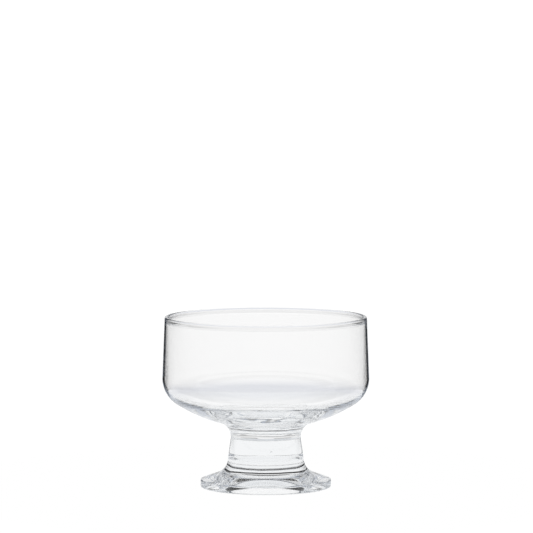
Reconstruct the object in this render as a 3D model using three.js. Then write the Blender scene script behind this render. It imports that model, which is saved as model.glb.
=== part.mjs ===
// A footed glass sundae dish. The thin bowl, the short thick stem and the disc foot are formed
// apart and fused while hot, so each is a solid of its own and they meet on two flat seams.
import * as THREE from 'three';

// Bowl, in millimetres. Heights are above the table.
const dishHeight = 80;
const rimRadius = 47.4;
const bowlRadius = 48.5;
const shoulderHeight = 51;
const shoulderRadius = 13.8;
const undersideRadius = 80;
const rimWall = 0.8;
const shoulderWall = 1.2;
const innerShoulder = 11.5;
const floorThickness = 5;
const lipRadius = 0.85;
const lipHeight = 2.6;

// Stem, from the bowl's narrow neck down to the foot.
const neckRadius = 16.4;
const neckFillet = 7.4;
const stemRadius = 17.9;
const footSeamHeight = 12;

// Foot, which stands on a flat ring around a shallow hollow.
const footRadius = 30.6;
const footEdge = 3.4;
const footSlope = THREE.MathUtils.degToRad(20);
const footRounding = 0.6;
const flareRadius = 7.7;
const hollowRadius = 25;
const hollowDepth = 2.2;

// Steps around the axis, along each curve and around the foot's small rounded edges.
const aroundSteps = 64;
const curveSteps = 8;
const cornerSteps = 3;

const point = (radius, height) => new THREE.Vector2(radius, height);

// Points on a circle in the profile plane, ends included. Angle 0 points away from the axis.
function arc(center, radius, from, to, steps = curveSteps) {
  return Array.from({ length: steps + 1 }, (_, step) => {
    const angle = THREE.MathUtils.lerp(from, to, step / steps);
    return point(center.x + radius * Math.cos(angle), center.y + radius * Math.sin(angle));
  });
}

// Direction from one point to another, as an angle in the profile plane.
function bearing(from, to) {
  return Math.atan2(to.y - from.y, to.x - from.x);
}

// Where a straight line up to the given end leaves a circle without a kink.
function leavingAngle(center, radius, end) {
  return bearing(center, end) - Math.acos(radius / center.distanceTo(end));
}

// A corner between two straight edges, replaced by an arc that touches both.
function roundedCorner(before, corner, after, radius) {
  const back = before.clone().sub(corner).normalize();
  const ahead = after.clone().sub(corner).normalize();
  const halfAngle = Math.acos(back.dot(ahead)) / 2;
  const inward = back.clone().add(ahead).normalize();
  const center = corner.clone().addScaledVector(inward, radius / Math.sin(halfAngle));
  const reach = radius / Math.tan(halfAngle);
  const start = bearing(center, corner.clone().addScaledVector(back, reach));
  const end = bearing(center, corner.clone().addScaledVector(ahead, reach));
  return arc(center, radius, start, end, cornerSteps);
}

// Centre of the circle around the axis that a smaller circle touches from inside.
function outerCircleHeight(radius, center, smallRadius) {
  return center.y + Math.sqrt((radius - smallRadius) ** 2 - center.x ** 2);
}

// Outside of the bowl: neck fillet, shallow underside and shoulder share their tangents.
const shoulderCenter = point(bowlRadius - shoulderRadius, shoulderHeight);
const undersideCenter = point(0, outerCircleHeight(undersideRadius, shoulderCenter, shoulderRadius));
const filletAcross = neckRadius + neckFillet;
const filletDrop = Math.sqrt((undersideRadius + neckFillet) ** 2 - filletAcross ** 2);
const filletCenter = point(filletAcross, undersideCenter.y - filletDrop);
const bowlSeamHeight = filletCenter.y;

// Inside of the bowl: the floor curve touches the inner shoulder and clears the underside.
const innerCenter = point(bowlRadius - shoulderWall - innerShoulder, shoulderHeight);
const floorHeight = undersideCenter.y - undersideRadius + floorThickness;
const shoulderRise = shoulderHeight - floorHeight;
const floorRadius = (innerCenter.x ** 2 + shoulderRise ** 2 - innerShoulder ** 2)
  / (2 * (shoulderRise - innerShoulder));
const floorCenter = point(0, floorHeight + floorRadius);

function bowlProfile() {
  const lipCenter = point(rimRadius - lipRadius, dishHeight - lipRadius);
  const wallTop = point(rimRadius, lipCenter.y);
  const innerWallTop = point(rimRadius - rimWall, dishHeight - lipHeight);
  const undersideTurn = bearing(undersideCenter, shoulderCenter);
  const floorTurn = bearing(floorCenter, innerCenter);
  const outerLeave = leavingAngle(shoulderCenter, shoulderRadius, wallTop);
  const innerLeave = leavingAngle(innerCenter, innerShoulder, innerWallTop);
  const lipEnd = leavingAngle(lipCenter, lipRadius, innerWallTop) + 2 * Math.PI;
  const filletEnd = bearing(filletCenter, undersideCenter);
  return [
    point(0, bowlSeamHeight),
    ...arc(filletCenter, neckFillet, Math.PI, filletEnd),
    ...arc(undersideCenter, undersideRadius, bearing(undersideCenter, filletCenter), undersideTurn).slice(1),
    ...arc(shoulderCenter, shoulderRadius, undersideTurn, outerLeave).slice(1),
    ...arc(lipCenter, lipRadius, 0, lipEnd),
    innerWallTop,
    ...arc(innerCenter, innerShoulder, innerLeave, floorTurn),
    ...arc(floorCenter, floorRadius, floorTurn, -Math.PI / 2).slice(1),
  ];
}

function stemProfile() {
  return [
    point(0, footSeamHeight),
    point(stemRadius, footSeamHeight),
    point(neckRadius, bowlSeamHeight),
    point(0, bowlSeamHeight),
  ];
}

// Hollow under the foot, from the axis out to the standing ring.
function hollowCurve() {
  const radius = (hollowRadius ** 2 + hollowDepth ** 2) / (2 * hollowDepth);
  const center = point(0, hollowDepth - radius);
  return arc(center, radius, Math.PI / 2, bearing(center, point(hollowRadius, 0)));
}

// The flare leaves the stem's lower end and runs out along the foot's sloping top.
function flareCurve(edgeTop) {
  const start = point(stemRadius, footSeamHeight);
  const across = point(Math.sin(footSlope), Math.cos(footSlope));
  const along = point(Math.cos(footSlope), -Math.sin(footSlope));
  const rise = flareRadius - across.dot(start.clone().sub(edgeTop));
  const run = Math.sqrt(flareRadius ** 2 - rise ** 2);
  const center = start.clone().addScaledVector(across, rise).addScaledVector(along, run);
  const toSlope = across.clone().multiplyScalar(-flareRadius);
  const turn = toSlope.angleTo(start.clone().sub(center));
  return arc(center, flareRadius, toSlope.angle(), toSlope.angle() - turn);
}

function footProfile() {
  const edgeBottom = point(footRadius, 0);
  const edgeTop = point(footRadius, footEdge);
  const flare = flareCurve(edgeTop);
  return [
    ...hollowCurve(),
    ...roundedCorner(point(hollowRadius, 0), edgeBottom, edgeTop, footRounding),
    ...roundedCorner(edgeBottom, edgeTop, flare[0], footRounding),
    ...flare,
    point(0, footSeamHeight),
  ];
}

// Turns a profile about the dish's upright axis.
function turned(name, profile) {
  const geometry = new THREE.LatheGeometry(profile, aroundSteps);
  geometry.rotateX(Math.PI / 2);
  const clearGlass = new THREE.MeshStandardMaterial({
    color: '#e9eef0',
    roughness: 0.04,
    metalness: 0,
    transparent: true,
    opacity: 0.35,
  });
  const mesh = new THREE.Mesh(geometry, clearGlass);
  mesh.name = name;
  return mesh;
}

const dish = new THREE.Group();
dish.name = 'sundae_dish';
dish.add(turned('bowl', bowlProfile()));
dish.add(turned('stem', stemProfile()));
dish.add(turned('foot', footProfile()));

export default dish;
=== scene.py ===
# %% [markdown]
# # A footed glass sundae dish
# The dish is three gathers of clear glass fused while hot: a thin bowl, a short thick stem and a
# disc foot. In this lesson each one is turned from a profile again, finer than the solids it
# stands for, and gets a glass that bends light as the real one does. Clear glass has no look of
# its own: what the eye reads is the studio seen through it. So half of the lesson is about
# where the studio is white and where it is dark.

# %% Load the frame
import math

import bmesh
import bpy
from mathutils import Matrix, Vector, noise


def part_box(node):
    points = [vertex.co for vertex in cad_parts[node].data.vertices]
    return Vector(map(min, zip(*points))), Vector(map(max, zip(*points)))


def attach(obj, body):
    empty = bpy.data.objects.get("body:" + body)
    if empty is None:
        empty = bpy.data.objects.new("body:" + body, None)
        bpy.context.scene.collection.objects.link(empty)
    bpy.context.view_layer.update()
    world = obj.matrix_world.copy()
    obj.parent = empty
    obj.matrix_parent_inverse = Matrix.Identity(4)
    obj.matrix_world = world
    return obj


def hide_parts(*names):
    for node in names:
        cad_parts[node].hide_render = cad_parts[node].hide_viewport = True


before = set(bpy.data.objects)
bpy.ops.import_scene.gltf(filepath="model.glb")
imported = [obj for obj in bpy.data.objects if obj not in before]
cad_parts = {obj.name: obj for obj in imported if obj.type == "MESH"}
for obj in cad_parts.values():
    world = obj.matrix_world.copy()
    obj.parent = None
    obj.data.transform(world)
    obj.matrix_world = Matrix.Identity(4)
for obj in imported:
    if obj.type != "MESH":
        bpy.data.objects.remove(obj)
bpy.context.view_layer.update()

# %% [markdown]
# ## Sizes
# The frame is in metres, while glass is drawn in millimetres, so one factor joins the two. The
# boxes of the solids give the outside: the rim's height, the widest radius and the two seams.
# The curves between them are named later, next to the piece that needs them, because a
# box can't tell them.

# %% Sizes from the frame
MM = 0.001


def box_mm(node):
    """The low and high corner of a solid, in millimetres."""
    return [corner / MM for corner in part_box(node)]


bowl_low, bowl_high = box_mm("bowl")
stem_high = box_mm("stem")[1]
foot_high = box_mm("foot")[1]

DISH_HEIGHT = bowl_high.z
BOWL_RADIUS = bowl_high.x
BOWL_SEAM = bowl_low.z
STEM_RADIUS = stem_high.x
FOOT_SEAM = foot_high.z
FOOT_RADIUS = foot_high.x

print(f"bowl {2 * BOWL_RADIUS:.1f} mm wide, seams at {FOOT_SEAM:.1f} and {BOWL_SEAM:.1f} mm")

# %% [markdown]
# ## Turning a profile
# Blown and pressed glass is round because it is spun or shaped while it turns, so a spun profile
# is the honest way to model it. A profile is a chain of points (radius, height) in millimetres,
# made of arcs that share their tangents. Spinning the chain all the way round with the ends
# merged makes a closed skin. Merging doubles closes the poles on the axis, and only then are
# the normals recalculated, so that every face points out of the glass.

# %% Helpers for profiles
AROUND = 192
CURVE_STEPS = 28
CORNER_STEPS = 6


def arc(center, radius, start, end, steps=CURVE_STEPS):
    """Points on a circle in the profile plane. Angle 0 points away from the axis."""
    angles = [start + (end - start) * step / steps for step in range(steps + 1)]
    return [(center[0] + radius * math.cos(a), center[1] + radius * math.sin(a)) for a in angles]


def bearing(start, end):
    """Direction from one profile point to another, as an angle."""
    return math.atan2(end[1] - start[1], end[0] - start[0])


def rounded_corner(before, corner, after, radius):
    """A corner between two straight edges, replaced by an arc that touches both."""
    corner = Vector(corner)
    back = (Vector(before) - corner).normalized()
    ahead = (Vector(after) - corner).normalized()
    half = back.angle(ahead) / 2
    center = corner + (back + ahead).normalized() * radius / math.sin(half)
    reach = radius / math.tan(half)
    start = bearing(center, corner + back * reach)
    turn = (corner + back * reach - center).angle_signed(corner + ahead * reach - center)
    return arc(center, radius, start, start - turn, CORNER_STEPS)


# %% Spin a profile into a skin
MERGE = 0.002


def turned(profile):
    """Spins a profile in millimetres about the dish's axis into a closed skin in metres."""
    bm = bmesh.new()
    chain = [bm.verts.new((radius * MM, 0, height * MM)) for radius, height in profile]
    links = [bm.edges.new(pair) for pair in zip(chain, chain[1:])]
    bmesh.ops.spin(bm, geom=chain + links, cent=(0, 0, 0), axis=(0, 0, 1),
                   angle=math.tau, steps=AROUND, use_merge=True)
    bmesh.ops.remove_doubles(bm, verts=bm.verts, dist=MERGE * MM)
    bmesh.ops.recalc_face_normals(bm, faces=bm.faces)
    return bm


print("turning in", AROUND, "steps")

# %% [markdown]
# ## The bowl
# The bowl's outside runs from the neck through a fillet, a shallow underside and a round shoulder
# up a wall that leans in a little. The inside follows it at the wall's thickness, which
# grows from the rim to the shoulder and again to the middle of the floor. The lip is a bead,
# because the cut rim was melted smooth in a flame. First come the sizes and the centres of the
# arcs, then the chain itself.

# %% Bowl sizes and arc centres
RIM_RADIUS = 47.4
SHOULDER_HEIGHT = 51.0
SHOULDER_RADIUS = 13.8
UNDERSIDE_RADIUS = 80.0
NECK_RADIUS = 16.4
NECK_FILLET = 7.4
RIM_WALL = 0.8
SHOULDER_WALL = 1.2
INNER_SHOULDER = 11.5
FLOOR_THICKNESS = 5.0

shoulder_center = (BOWL_RADIUS - SHOULDER_RADIUS, SHOULDER_HEIGHT)
underside_rise = math.sqrt((UNDERSIDE_RADIUS - SHOULDER_RADIUS) ** 2 - shoulder_center[0] ** 2)
underside_center = (0, SHOULDER_HEIGHT + underside_rise)
fillet_center = (NECK_RADIUS + NECK_FILLET, BOWL_SEAM)
inner_center = (BOWL_RADIUS - SHOULDER_WALL - INNER_SHOULDER, SHOULDER_HEIGHT)
floor_height = underside_center[1] - UNDERSIDE_RADIUS + FLOOR_THICKNESS
inner_rise = SHOULDER_HEIGHT - floor_height
floor_radius = ((inner_center[0] ** 2 + inner_rise ** 2 - INNER_SHOULDER ** 2)
                / (2 * (inner_rise - INNER_SHOULDER)))
floor_center = (0, floor_height + floor_radius)
print(f"floor {floor_height:.1f} mm above the table, curved to {floor_radius:.0f} mm")

# %% Bowl profile
LIP_RADIUS = 0.85
LIP_HEIGHT = 2.6
LIP_BLEND = 3.0
LIP_STEPS = 20
SEAM_ROUNDING = 0.25


def leaving_angle(center, radius, end):
    """Where a straight wall up to the given end leaves a circle without a kink."""
    return bearing(center, end) - math.acos(radius / math.dist(center, end))


def bowl_profile():
    """From the seam out and up to the lip, then down the inside to the floor."""
    lip_center = (RIM_RADIUS - LIP_RADIUS, DISH_HEIGHT - LIP_RADIUS)
    wall_top = (RIM_RADIUS, lip_center[1])
    inner_wall_top = (RIM_RADIUS - RIM_WALL, DISH_HEIGHT - LIP_HEIGHT)
    underside_turn = bearing(underside_center, shoulder_center)
    floor_turn = bearing(floor_center, inner_center)
    seam_corner = (NECK_RADIUS, BOWL_SEAM)
    above_seam = (NECK_RADIUS, BOWL_SEAM + NECK_FILLET)
    fillet_start = math.pi - math.asin(SEAM_ROUNDING / NECK_FILLET)
    fillet_end = bearing(fillet_center, underside_center)
    underside_start = bearing(underside_center, fillet_center)
    outer_leave = leaving_angle(shoulder_center, SHOULDER_RADIUS, wall_top)
    inner_leave = leaving_angle(inner_center, INNER_SHOULDER, inner_wall_top)
    inner_curve = arc(inner_center, INNER_SHOULDER, inner_leave, floor_turn)
    lip_end = math.tau + leaving_angle(lip_center, LIP_RADIUS, inner_wall_top)
    lip = arc(lip_center, LIP_RADIUS, 0, lip_end, LIP_STEPS)
    return [
        (0, BOWL_SEAM),
        *rounded_corner((0, BOWL_SEAM), seam_corner, above_seam, SEAM_ROUNDING),
        *arc(fillet_center, NECK_FILLET, fillet_start, fillet_end)[1:],
        *arc(underside_center, UNDERSIDE_RADIUS, underside_start, underside_turn)[1:],
        *arc(shoulder_center, SHOULDER_RADIUS, underside_turn, outer_leave)[1:],
        *lip,
        *rounded_corner(lip[-1], inner_wall_top, inner_curve[0], LIP_BLEND),
        *inner_curve,
        *arc(floor_center, floor_radius, floor_turn, -math.pi / 2)[1:],
    ]


bowl_bm = turned(bowl_profile())
print("bowl skin:", len(bowl_bm.faces), "faces")

# %% [markdown]
# ## The stem and the foot
# The stem is a short solid cone. The foot is pressed: a flat standing ring round a shallow hollow,
# an upright edge, a sloping top and a flare that runs up into the stem. Where two pieces
# were fused, each has a slightly rounded edge, which leaves the fine ring line that
# shows round the real dish.

# %% Stem
def stem_profile():
    """A cone with a slightly rounded edge at each seam."""
    foot_corner = (STEM_RADIUS, FOOT_SEAM)
    neck_corner = (NECK_RADIUS, BOWL_SEAM)
    return [
        (0, FOOT_SEAM),
        *rounded_corner((0, FOOT_SEAM), foot_corner, neck_corner, SEAM_ROUNDING),
        *rounded_corner(foot_corner, neck_corner, (0, BOWL_SEAM), SEAM_ROUNDING),
        (0, BOWL_SEAM),
    ]


stem_bm = turned(stem_profile())
print("stem skin:", len(stem_bm.faces), "faces")

# %% Foot
FOOT_EDGE = 3.4
FOOT_SLOPE = math.radians(20)
FOOT_ROUNDING = 0.6
FLARE_RADIUS = 7.7
HOLLOW_RADIUS = 25.0
HOLLOW_DEPTH = 2.2


def flare_curve(edge_top):
    """From the foot's sloping top up to the stem's lower end."""
    start = Vector((STEM_RADIUS, FOOT_SEAM))
    across = Vector((math.sin(FOOT_SLOPE), math.cos(FOOT_SLOPE)))
    along = Vector((math.cos(FOOT_SLOPE), -math.sin(FOOT_SLOPE)))
    rise = FLARE_RADIUS - across.dot(start - Vector(edge_top))
    run = math.sqrt(FLARE_RADIUS ** 2 - rise ** 2)
    center = start + across * rise + along * run
    first = bearing(center, center - across)
    return arc(center, FLARE_RADIUS, first, first - (-across).angle(start - center))


def foot_profile():
    """From the top of the hollow out over the standing ring, the edge and the flare."""
    hollow_curve = (HOLLOW_RADIUS ** 2 + HOLLOW_DEPTH ** 2) / (2 * HOLLOW_DEPTH)
    hollow_center = (0, HOLLOW_DEPTH - hollow_curve)
    edge_bottom = (FOOT_RADIUS, 0)
    edge_top = (FOOT_RADIUS, FOOT_EDGE)
    flare = flare_curve(edge_top)
    return [
        *arc(hollow_center, hollow_curve, math.pi / 2, bearing(hollow_center, (HOLLOW_RADIUS, 0))),
        *rounded_corner((HOLLOW_RADIUS, 0), edge_bottom, edge_top, FOOT_ROUNDING),
        *rounded_corner(edge_bottom, edge_top, flare[0], FOOT_ROUNDING),
        *flare[:-2],
        *rounded_corner(flare[-3], flare[-1], (0, FOOT_SEAM), SEAM_ROUNDING),
        (0, FOOT_SEAM),
    ]


foot_bm = turned(foot_profile())
print("foot skin:", len(foot_bm.faces), "faces")

# %% [markdown]
# ## Traces of the making
# Glass that is pressed and joined hot never comes out as true as a lathe drawing. The tool leaves
# slow waves in the stem, the neck and the flare, and the bowl's floor sags a little unevenly.
# The waves are far too low to see from the side, but the light that passes through shows
# them as curls and broken lines. A noise field moves the points, sideways on the outside and
# upright on the floor, so both sides of a seam move alike and stay flat.

# %% Waves
WAVE_LENGTH = 6.0
STEM_WAVE = 0.12
FLOOR_WAVE = 0.15
FLOOR_FADE = (18, 32)
FLARE_FADE = (5, 9)
NECK_FADE = (31, 38)
FLOOR_MARGIN = 1.0
LEAST_UPWARD = 0.3
CORE_RADIUS = 10.0


def between(value, low, high):
    """0 at the first bound, 1 at the second, smooth on the way."""
    share = min(max((value - low) / (high - low), 0), 1)
    return share * share * (3 - 2 * share)


def wave(bm):
    """Moves the worked zones of a skin by a low noise field."""
    bm.normal_update()
    for vert in bm.verts:
        spot = vert.co / MM
        reach = math.hypot(spot.x, spot.y)
        swell = noise.noise(spot / WAVE_LENGTH)
        if spot.z > floor_height - FLOOR_MARGIN and vert.normal.z > LEAST_UPWARD:
            vert.co.z += FLOOR_WAVE * swell * MM * (1 - between(reach, *FLOOR_FADE))
        elif reach > 0:
            zone = between(spot.z, *FLARE_FADE) * (1 - between(spot.z, *NECK_FADE))
            vert.co.xy *= 1 + STEM_WAVE * swell * zone / max(reach, CORE_RADIUS)


for skin in (bowl_bm, stem_bm, foot_bm):
    wave(skin)
print("waves of", STEM_WAVE, "and", FLOOR_WAVE, "mm")

# %% [markdown]
# ## Seeds
# Seeds are gas bubbles too small to rise out of the melt. The dish has one in the stem and
# one in the wall under the rim. Each is a small ball turned inside out, because it is a
# hole in the glass.

# %% Two seeds
SEED_AROUND = 16
SEED_RINGS = 10
STEM_SEED = {"place": (1.7, 0, 16), "radius": 0.3}
WALL_SEED = {"place": (45.4, -13.0, 75.9), "radius": 0.25}


def seed(bm, place, radius):
    """Leaves a small gas bubble in the glass."""
    ball = bmesh.ops.create_uvsphere(
        bm, u_segments=SEED_AROUND, v_segments=SEED_RINGS, radius=radius * MM)["verts"]
    bmesh.ops.translate(bm, vec=Vector(place) * MM, verts=ball)
    bmesh.ops.reverse_faces(bm, faces=list({face for vert in ball for face in vert.link_faces}))
    print("seed of", 2 * radius, "mm at", place)


seed(stem_bm, **STEM_SEED)
seed(bowl_bm, **WALL_SEED)

# %% [markdown]
# ## Materials
# A shader is a small tree of nodes. One helper adds a node, applies its settings and gives each
# input a value or a link; another turns the hex colours that people read into the linear
# numbers that light is counted in. A Mix node has inputs of the same name for each kind of data, so
# they are given by number: 0, 2 and 3 for plain numbers, 0, 6 and 7 for colours.

# %% Helpers for node trees
def linear(hex_colour):
    """An sRGB hex colour as the linear RGBA that shaders take."""
    channels = [int(hex_colour[i:i + 2], 16) / 255 for i in (1, 3, 5)]
    return (*[c / 12.92 if c <= 0.04045 else ((c + 0.055) / 1.055) ** 2.4 for c in channels], 1.0)


def add(tree, kind, inputs=None, **settings):
    """Adds a node, applies its settings, then gives each input a value or a link."""
    made = tree.nodes.new(kind)
    for name, value in settings.items():
        setattr(made, name, value)
    for socket, value in (inputs or {}).items():
        if isinstance(value, bpy.types.NodeSocket):
            tree.links.new(value, made.inputs[socket])
        else:
            made.inputs[socket].default_value = value
    return made


def fresh_material(name):
    """A material with an empty node tree and its output node."""
    material = bpy.data.materials.new(name)
    material.use_nodes = True
    material.node_tree.nodes.clear()
    print("material:", name)
    return material, add(material.node_tree, "ShaderNodeOutputMaterial")


# %% [markdown]
# ## The glass
# Soda-lime glass has an index of refraction of 1.52. It takes a little light from every ray, so
# the thick stem is a shade greyer than the thin bowl. The flame leaves a skin of very
# low dimples, washing leaves a film in patches that dulls the gloss by a hair, and the ring that
# the dish stands on has picked up fine scuffs. All of these are noise in the object's own
# millimetres, so they stay put when the dish or the camera moves.

# %% Glass
WHITE = "#ffffff"
GLASS_INDEX = 1.52
GLASS_TINT = "#c9ced2"
ABSORPTION = 4.0
DIMPLE_WIDTH = 4.0
DIMPLE_DETAIL = 1.0
DIMPLE_DEPTH = 0.004
FILM_WIDTH = 14.0
FILM_DETAIL = 3.0
FILM_PATCHES = (0.5, 0.75)
FILM_ROUGHNESS = 0.008
SCUFF_WIDTH = 0.4
SCUFF_DETAIL = 2.0
SCUFF_PATCHES = (0.58, 0.7)
SCUFF_ROUGHNESS = 0.3
SCUFF_HEIGHT = 0.25


def spots(tree, place, width, detail):
    """Noise whose spots have a real width in millimetres."""
    made = add(tree, "ShaderNodeTexNoise", {
        "Vector": place, "Scale": 1 / (width * MM), "Detail": detail})
    return made.outputs["Fac"]


def stretch(tree, value, bounds, most=1.0):
    """Goes from 0 at the first bound to most at the second."""
    made = add(tree, "ShaderNodeMapRange", {
        "Value": value, "From Min": bounds[0], "From Max": bounds[1], "To Max": most})
    return made.outputs["Result"]


def clear_glass():
    """Fire-polished glass with a trace of washing film and a scuffed standing ring."""
    # To the eye: clear and sharp, faintly grey where thick, with a lively gloss and a dull
    # standing ring.
    material, output = fresh_material("soda_lime_glass_fire_polished")
    tree = material.node_tree
    place = add(tree, "ShaderNodeTexCoord").outputs["Object"]
    height = add(tree, "ShaderNodeSeparateXYZ", {0: place}).outputs["Z"]
    skin = spots(tree, place, DIMPLE_WIDTH, DIMPLE_DETAIL)
    dimples = add(tree, "ShaderNodeBump", {"Height": skin, "Distance": DIMPLE_DEPTH * MM})
    film = spots(tree, place, FILM_WIDTH, FILM_DETAIL)
    haze = stretch(tree, film, FILM_PATCHES, FILM_ROUGHNESS)
    scuffs = spots(tree, place, SCUFF_WIDTH, SCUFF_DETAIL)
    wear = stretch(tree, scuffs, SCUFF_PATCHES, SCUFF_ROUGHNESS)
    standing = stretch(tree, height, (SCUFF_HEIGHT * MM, 0.0))
    roughness = add(tree, "ShaderNodeMix", {0: standing, 2: haze, 3: wear})
    glass = add(tree, "ShaderNodeBsdfPrincipled", {
        "Base Color": linear(WHITE), "Roughness": roughness.outputs[0], "IOR": GLASS_INDEX,
        "Transmission Weight": 1.0, "Normal": dimples.outputs["Normal"]})
    body = add(tree, "ShaderNodeVolumeAbsorption", {
        "Color": linear(GLASS_TINT), "Density": ABSORPTION})
    tree.links.new(glass.outputs["BSDF"], output.inputs["Surface"])
    tree.links.new(body.outputs["Volume"], output.inputs["Volume"])
    return material


GLASS = clear_glass()

# %% [markdown]
# ## The fused seams
# Where two gathers ran together the glass is whole, so the flat faces that meet there must not
# bend or mirror anything. A shader with no alpha lets every ray straight through.

# %% Seam
def fused_seam():
    """Glass that ran together: nothing is left to see of the faces that met."""
    # To the eye: one unbroken run of glass from bowl to foot.
    material, output = fresh_material("fused_glass_seam")
    tree = material.node_tree
    clear = add(tree, "ShaderNodeBsdfPrincipled", {"Base Color": linear(WHITE), "Alpha": 0.0})
    tree.links.new(clear.outputs["BSDF"], output.inputs["Surface"])
    return material


SEAM = fused_seam()

# %% [markdown]
# ## From skins to pieces
# Each skin becomes an object that rides on the dish's one body and stands for its solid. The
# flat seam faces take the seam material, and their outer edge is kept sharp, so that the smooth
# shading of the outside doesn't bend towards them. Spinning makes faces in no fixed order, so they
# are first put in the order of their corners: every run then gives the same mesh.

# %% Make the pieces
FLAT = 1e-4


def put_in_order(bm):
    """Orders edges and faces by the numbers of their corners."""
    bm.verts.index_update()
    for cells in (bm.edges, bm.faces):
        ranked = sorted(cells, key=lambda cell: sorted(vert.index for vert in cell.verts))
        for number, cell in enumerate(ranked):
            cell.index = number
        cells.sort()


def piece(name, node, bm, seams):
    """Makes the object, marks its seam faces and rides it on the dish."""
    put_in_order(bm)
    for face in bm.faces:
        face.smooth = True
        flat = any(all(abs(vert.co.z / MM - seam) < FLAT for vert in face.verts) for seam in seams)
        face.material_index = int(flat)
    for edge in bm.edges:
        edge.smooth = len({face.material_index for face in edge.link_faces}) == 1
    mesh = bpy.data.meshes.new(name)
    bm.to_mesh(mesh)
    bm.free()
    mesh.materials.append(GLASS)
    mesh.materials.append(SEAM)
    made = bpy.data.objects.new(name, mesh)
    bpy.context.scene.collection.objects.link(made)
    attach(made, "root")
    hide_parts(node)
    print(name, len(mesh.polygons), "faces")


piece("bowl_glass", "bowl", bowl_bm, [BOWL_SEAM])
piece("stem_glass", "stem", stem_bm, [FOOT_SEAM, BOWL_SEAM])
piece("foot_glass", "foot", foot_bm, [FOOT_SEAM])

# %% [markdown]
# ## The floor
# The dish stands on white acrylic, drawn as a glowing sheet as if lit from below. To the camera it
# is plain white, as in an overexposed backdrop. Through the glass it shows a painted pool of light
# that falls off a little away from the dish, which gives the lower bowl its soft grey band. The
# disc lies a hair below the foot, so that the two flat faces don't share one plane.

# %% Floor
FLOOR_EDGE = 160
FLOOR_SIDES = 96
FLOOR_DROP = 0.05
# Painted pool of light on the floor: the glow is even out to 105 mm and greyer by 140 mm.
FLOOR_LIGHT_STOPS = {0: "#fafbfc", 105: "#fafbfc", 140: "#e6e8ec"}


def ramp(tree, value, stops, full):
    """Colours over a value that runs from 0 to full. The first stop is at 0."""
    share = add(tree, "ShaderNodeMath", {0: value, 1: full}, operation="DIVIDE")
    made = add(tree, "ShaderNodeValToRGB", {"Fac": share.outputs[0]})
    elements = made.color_ramp.elements
    elements.remove(elements[1])
    for place, colour in stops.items():
        stop = elements.new(place / full) if place else elements[0]
        stop.color = linear(colour)
    return made.outputs["Color"]


def white_acrylic():
    """A floor that glows evenly to the camera and shows other rays a painted pool of light that
    falls off a little.
    """
    # To the eye: a plain white table, and a soft grey band across the bowl's floor.
    material, output = fresh_material("white_acrylic_cast_sheet")
    tree = material.node_tree
    place = add(tree, "ShaderNodeTexCoord").outputs["Object"]
    away = add(tree, "ShaderNodeVectorMath", {0: place}, operation="LENGTH").outputs["Value"]
    stops = {reach * MM: colour for reach, colour in FLOOR_LIGHT_STOPS.items()}
    # The painted pool of light: the floor's glow by distance from the dish.
    pool = ramp(tree, away, stops, FLOOR_EDGE * MM)
    direct = add(tree, "ShaderNodeLightPath").outputs["Is Camera Ray"]
    shown = add(tree, "ShaderNodeMix", {0: direct, 6: pool, 7: linear(WHITE)}, data_type="RGBA")
    glow = add(tree, "ShaderNodeEmission", {"Color": shown.outputs[2]})
    tree.links.new(glow.outputs["Emission"], output.inputs["Surface"])
    material.cycles.emission_sampling = "NONE"
    return material


floor_bm = bmesh.new()
bmesh.ops.create_circle(floor_bm, cap_ends=True, segments=FLOOR_SIDES, radius=FLOOR_EDGE * MM)
bmesh.ops.translate(floor_bm, vec=(0, 0, -FLOOR_DROP * MM), verts=floor_bm.verts)
floor_mesh = bpy.data.meshes.new("studio_floor")
floor_bm.to_mesh(floor_mesh)
floor_bm.free()
floor_mesh.materials.append(white_acrylic())
studio_floor = bpy.data.objects.new("studio_floor", floor_mesh)
bpy.context.scene.collection.objects.link(studio_floor)
print("floor disc of", 2 * FLOOR_EDGE, "mm")

# %% [markdown]
# ## The studio
# Glass is shot in front of white with dark cards just outside the picture. The white shows through
# the middle of the dish, while its edges bend or mirror the view into the cards, which draws the
# outline. A photographer moves cards until each line reads well. Here the world does that
# job: the Light Path node tells how often a ray was mirrored and how often it passed through a
# surface, and each kind of ray gets its own white and dark by direction. That is a shortcut, for
# a real room looks the same to all rays, but it keeps the light soft and plain and needs no
# lamps. First come helpers that ask about a ray's direction and history. A name that ends in TOP
# holds two elevations in degrees, between which one zone gives way to the zone above it.

# %% Helpers for the studio
studio = bpy.data.worlds.new("studio")
bpy.context.scene.world = studio
studio.use_nodes = True
sky = studio.node_tree
sky.nodes.clear()
direction = add(sky, "ShaderNodeTexCoord").outputs["Generated"]
axes = add(sky, "ShaderNodeSeparateXYZ", {0: direction})
path = add(sky, "ShaderNodeLightPath")
azimuth = add(sky, "ShaderNodeMath", {
    0: axes.outputs["X"], 1: axes.outputs["Y"]}, operation="ARCTAN2")
degrees = add(sky, "ShaderNodeMath", {0: azimuth.outputs[0]}, operation="DEGREES")
aside = add(sky, "ShaderNodeMath", {0: degrees.outputs[0]}, operation="ABSOLUTE").outputs[0]


def climb(elevations):
    """Goes from 0 to 1 between two elevations of the ray, in degrees."""
    low, high = (math.sin(math.radians(elevation)) for elevation in elevations)
    made = add(sky, "ShaderNodeMapRange", {
        "Value": axes.outputs["Z"], "From Min": low, "From Max": high},
        interpolation_type="SMOOTHSTEP")
    return made.outputs["Result"]


HALF_TURN = 180


def by_side(stops):
    """Colours over the ray's turn to either side, from 0 straight behind to 180 in front."""
    return ramp(sky, aside, stops, HALF_TURN)


def over(depth, least):
    """1 for a ray that has met at least so many surfaces of one kind, else 0."""
    made = add(sky, "ShaderNodeMath", {
        0: path.outputs[depth], 1: least - 0.5}, operation="GREATER_THAN")
    return made.outputs[0]


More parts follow.
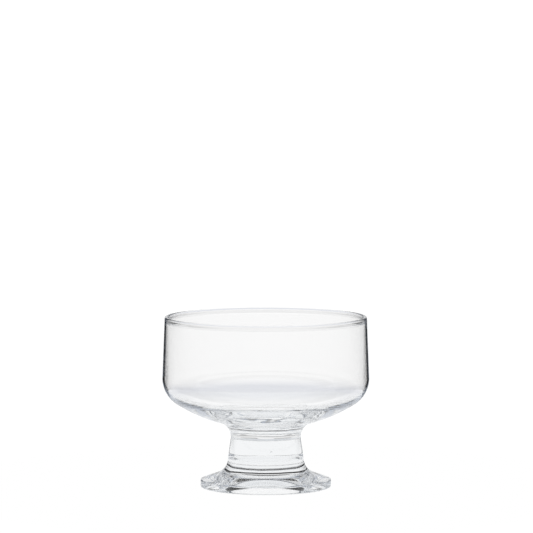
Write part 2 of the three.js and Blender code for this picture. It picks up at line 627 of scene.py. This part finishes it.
def blend(factor, start, end):
    """Goes from one colour to another. Each is a hex colour or another node's output."""
    first, last = (linear(side) if isinstance(side, str) else side for side in (start, end))
    made = add(sky, "ShaderNodeMix", {0: factor, 6: first, 7: last}, data_type="RGBA")
    return made.outputs[2]


print("studio asks about direction and history")

# %% [markdown]
# ## Rays that pass straight through
# These fill the bowl. They see upright white panels with gaps: near the outline the wall bends
# them into a gap, which starts the dark edge line. Low rays meet the far end of the table, a
# little greyer, and rays bent upwards by the lip and the neck meet the duller upper room.

# %% Straight rays
BLACK = "#000000"
PANEL_SPACING = 45
PANEL_STOPS = {0: "#f8f8f8", 5: "#f5f5f5", 8: "#eaeaea", 10.5: BLACK}
TABLE_GREY = "#dadce2"
UPPER_ROOM = "#ededed"
TOP_ROOM = "#d3d3d3"
TABLE_TOP = (-13, -8)
PANEL_TOP = (-2, 5)
UPPER_TOP = (9, 15)

half_spacing = PANEL_SPACING / 2
folded = add(sky, "ShaderNodeMath", {0: aside, 1: half_spacing}, operation="PINGPONG").outputs[0]
panels = ramp(sky, folded, PANEL_STOPS, half_spacing)
low_straight = blend(climb(TABLE_TOP), TABLE_GREY, panels)
straight = blend(climb(UPPER_TOP), blend(climb(PANEL_TOP), low_straight, UPPER_ROOM), TOP_ROOM)
print("panels every", PANEL_SPACING, "degrees")

# %% [markdown]
# ## Rays mirrored by the outside
# A skimming ray is mirrored most, right at the outline, and turns aside by only a few degrees. One
# dark card on each side, narrow for level rays and wider for rising ones, makes the
# outline firm without streaks on the bowl.

# %% Rays mirrored outside
OUTSIDE_WHITE = "#f6f6f6"
LEVEL_CARD = {0: "#f3f3f3", 10: "#ededed", 15: BLACK, 22: BLACK, 34: OUTSIDE_WHITE}
RISING_CARD = {0: "#f3f3f3", 10: "#e7e7e7", 16: BLACK, 48: BLACK, 75: OUTSIDE_WHITE}
LEVEL_TOP = (-4, 1)
RISING_TOP = (26, 36)

cards = blend(climb(LEVEL_TOP), by_side(LEVEL_CARD), by_side(RISING_CARD))
outside = blend(climb(RISING_TOP), cards, OUTSIDE_WHITE)
print("side cards with", len(LEVEL_CARD), "and", len(RISING_CARD), "stops")

# %% [markdown]
# ## Rays mirrored inside
# Total reflection inside the glass draws most of the dish. One mirroring makes the rings of the
# flare: those rays meet dark below, then a white strip that lights the front of the foot, then a
# dark card. Two or more make the lavender grey wedge under the bowl, the curls beside the neck and
# the ends of the foot. Long paths through several walls fill the neck. High up, all are white.

# %% Rays mirrored inside
FLARE_CARD = "#303030"
EDGE_CARD = {0: BLACK, 42: BLACK, 48: "#b4bac6", 70: "#b4bac6", 78: BLACK}
WEDGE_GREY = "#a4adbc"
FOOT_CARD = {0: "#a0a0a0", 25: "#a0a0a0", 40: "#1a1a1a", 80: "#1a1a1a",
             95: WHITE, 128: WHITE, 140: "#70767f"}
CURL_CARD = {0: WHITE, 45: WHITE, 60: "#404040", 110: "#404040", 125: WHITE}
NECK_LOW = "#f3f3f3"
NECK_GREY = "#c4c4c4"

DARK_TOP = (21, 27)
STRIP_TOP = (35, 41)
FLARE_TOP = (54, 60)
EDGE_TOP = (-3, 1)
WEDGE_TOP = (8, 11)
FOOT_TOP = (20, 27)
CURL_TOP = (50, 58)
LOW_TOP = (12, 18)
NECK_TOP = (34, 42)

front_strip = blend(climb(DARK_TOP), BLACK, WHITE)
once = blend(climb(FLARE_TOP), blend(climb(STRIP_TOP), front_strip, FLARE_CARD), WHITE)
wedge = blend(climb(EDGE_TOP), by_side(EDGE_CARD), WEDGE_GREY)
foot_ends = blend(climb(WEDGE_TOP), wedge, by_side(FOOT_CARD))
curls = blend(climb(FOOT_TOP), foot_ends, by_side(CURL_CARD))
often = blend(climb(CURL_TOP), curls, WHITE)
inside = blend(over("Glossy Depth", 2), once, often)
long_path = blend(climb(NECK_TOP), blend(climb(LOW_TOP), NECK_LOW, NECK_GREY), WHITE)
print("cards for inside rays:", len(EDGE_CARD), len(FOOT_CARD), len(CURL_CARD), "stops")

# %% [markdown]
# ## One backdrop
# Now each ray takes the colour of its kind. Straight up the room is white for all of them, and the
# camera itself sees plain white. The light is a touch above 1, because every surface of the
# glass keeps a little back.

# %% Join the kinds
STUDIO_LIGHT = 1.06
SIDES_TOP = (46, 64)

entered = blend(over("Transmission Depth", 1), outside, inside)
mirrored = blend(over("Transmission Depth", 3), entered, long_path)
sides = blend(over("Glossy Depth", 1), straight, mirrored)
room = blend(climb(SIDES_TOP), sides, WHITE)
shown = blend(path.outputs["Is Camera Ray"], room, WHITE)
backdrop = add(sky, "ShaderNodeBackground", {"Color": shown, "Strength": STUDIO_LIGHT})
add(sky, "ShaderNodeOutputWorld", {"Surface": backdrop.outputs["Background"]})
print("studio world of", len(sky.nodes), "nodes")

# %% [markdown]
# ## The camera
# The photograph looks down at the dish by a few degrees from far off. The camera's place and its
# width of view were fitted to the dish's outline.

# %% Camera
CAMERA_DISTANCE = 1721.5 * MM
CAMERA_HEIGHT = 240.5 * MM
AIM_HEIGHT = 103.35 * MM
VIEW_WIDTH = 248.9 * MM
SIDE_STEP = 0.33 * MM
CLIP_START = 0.05
CLIP_END = 20

lens = bpy.data.cameras.new("photo_camera")
eye = bpy.data.objects.new("photo_camera", lens)
eye.location = (SIDE_STEP, -CAMERA_DISTANCE, CAMERA_HEIGHT)
gaze = Vector((SIDE_STEP, 0, AIM_HEIGHT)) - eye.location
eye.rotation_euler = gaze.to_track_quat("-Z", "Y").to_euler()
lens.lens = lens.sensor_width * gaze.length / VIEW_WIDTH
lens.clip_start = CLIP_START
lens.clip_end = CLIP_END
bpy.context.scene.collection.objects.link(eye)
bpy.context.scene.camera = eye
print(f"lens {lens.lens:.0f} mm")

# %% [markdown]
# ## Light paths and finish
# A ray can be mirrored dozens of times inside the foot before it gets out. If it is cut short it
# turns black, so glass needs far more bounces than a plain scene.

# %% Bounces and colour
BOUNCES = 128
SEAM_BOUNCES = 64

scene = bpy.context.scene
scene.cycles.max_bounces = BOUNCES
scene.cycles.transmission_bounces = BOUNCES
scene.cycles.glossy_bounces = BOUNCES
scene.cycles.transparent_max_bounces = SEAM_BOUNCES
scene.view_settings.view_transform = "Standard"
print("up to", BOUNCES, "bounces")
